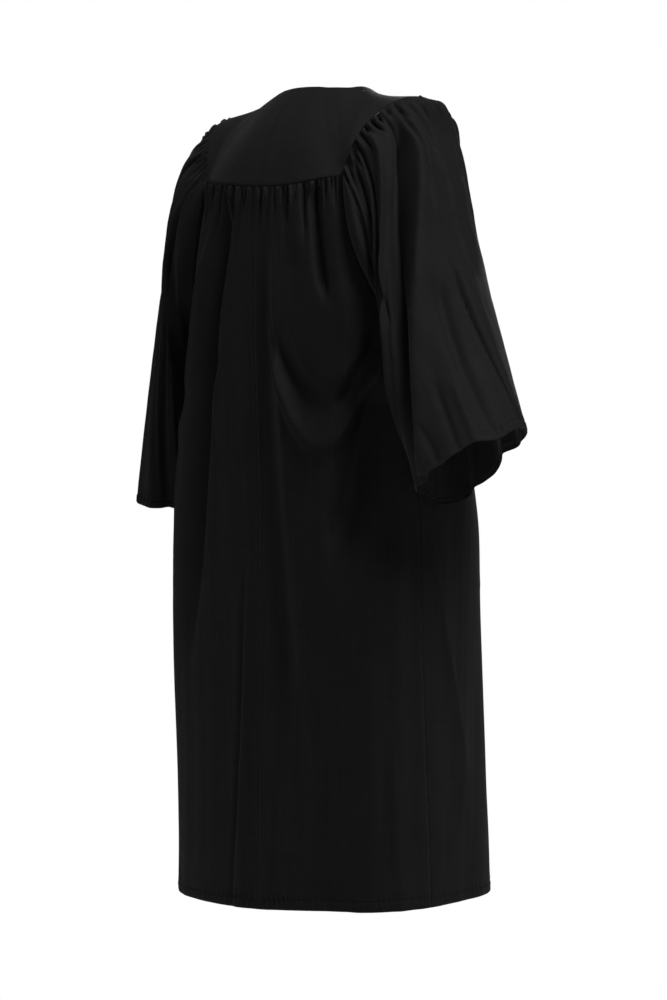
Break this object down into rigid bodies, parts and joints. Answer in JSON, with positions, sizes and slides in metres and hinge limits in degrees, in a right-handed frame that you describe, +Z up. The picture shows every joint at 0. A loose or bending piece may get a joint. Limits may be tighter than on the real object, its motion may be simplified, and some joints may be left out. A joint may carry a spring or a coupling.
{
  "type": "choir gown",
  "caption": "Ankle-length choir gown, hollow as worn, with a smooth yoke, gathered body panels, wide bell sleeves and a front zip.",
  "frame": {"origin": "on the neck axis, 5 mm above the points where the neck edge crosses the shoulders", "axes": "+Z up, -Y the way the wearer faces, -X the wearer's right"},
  "size_m": [0.8253, 0.328, 1.2278],
  "materials": {
    "cloth": "matt black polyester with a faint sheen",
    "zip_coil": "black nylon coil",
    "zip_metal": "black enamelled metal"
  },
  "bodies": {
    "gown": {"yoke": "cloth", "back_right": "cloth", "back_left": "cloth", "front_right": "cloth", "front_left": "cloth", "sleeve_right": "cloth", "sleeve_left": "cloth", "zip_band": "zip_coil", "zip_slider": "zip_metal"},
    "pull": {"zip_pull": "zip_metal"}
  },
  "joints": [
    {"name": "zip_pull_hinge", "type": "hinge", "parent": "gown", "child": "pull", "pos_m": [0, -0.11813, -0.1079], "axis": [-1, 0, 0], "range_deg": [0, 150]}
  ]
}
